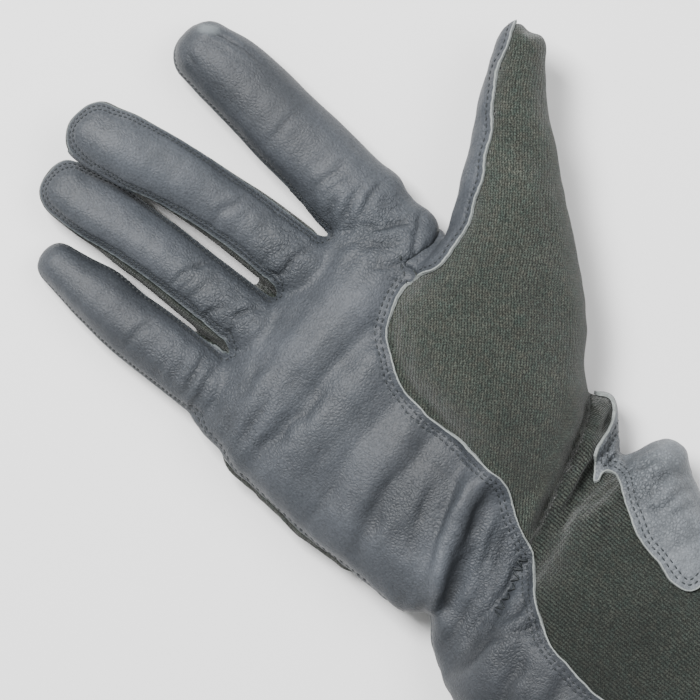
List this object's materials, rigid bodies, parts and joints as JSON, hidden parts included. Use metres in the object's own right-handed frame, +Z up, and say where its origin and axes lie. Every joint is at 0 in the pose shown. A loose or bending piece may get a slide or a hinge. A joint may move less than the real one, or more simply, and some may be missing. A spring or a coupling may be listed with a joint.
{
  "type": "flight glove",
  "caption": "Long-cuffed right-hand glove with a grey leather palm and finger fronts sewn over a dark green knit back, lying palm up.",
  "frame": {"origin": "on the flat underside of the knit back, under the middle of the hand, level with the surface that the glove lies on", "axes": "+Y from the cuff to the fingertips, +X to the thumb side, +Z up out of the palm"},
  "size_m": [0.1945, 0.317, 0.0439],
  "materials": {
    "leather": "soft matt grey leather",
    "knit": "fine ribbed knit, dark grey-green"
  },
  "bodies": {
    "root": {"palm_leather": "leather", "thumb_leather": "leather", "cuff_patch": "leather", "thumb_knit": "knit", "back_knit": "knit"}
  },
  "joints": []
}
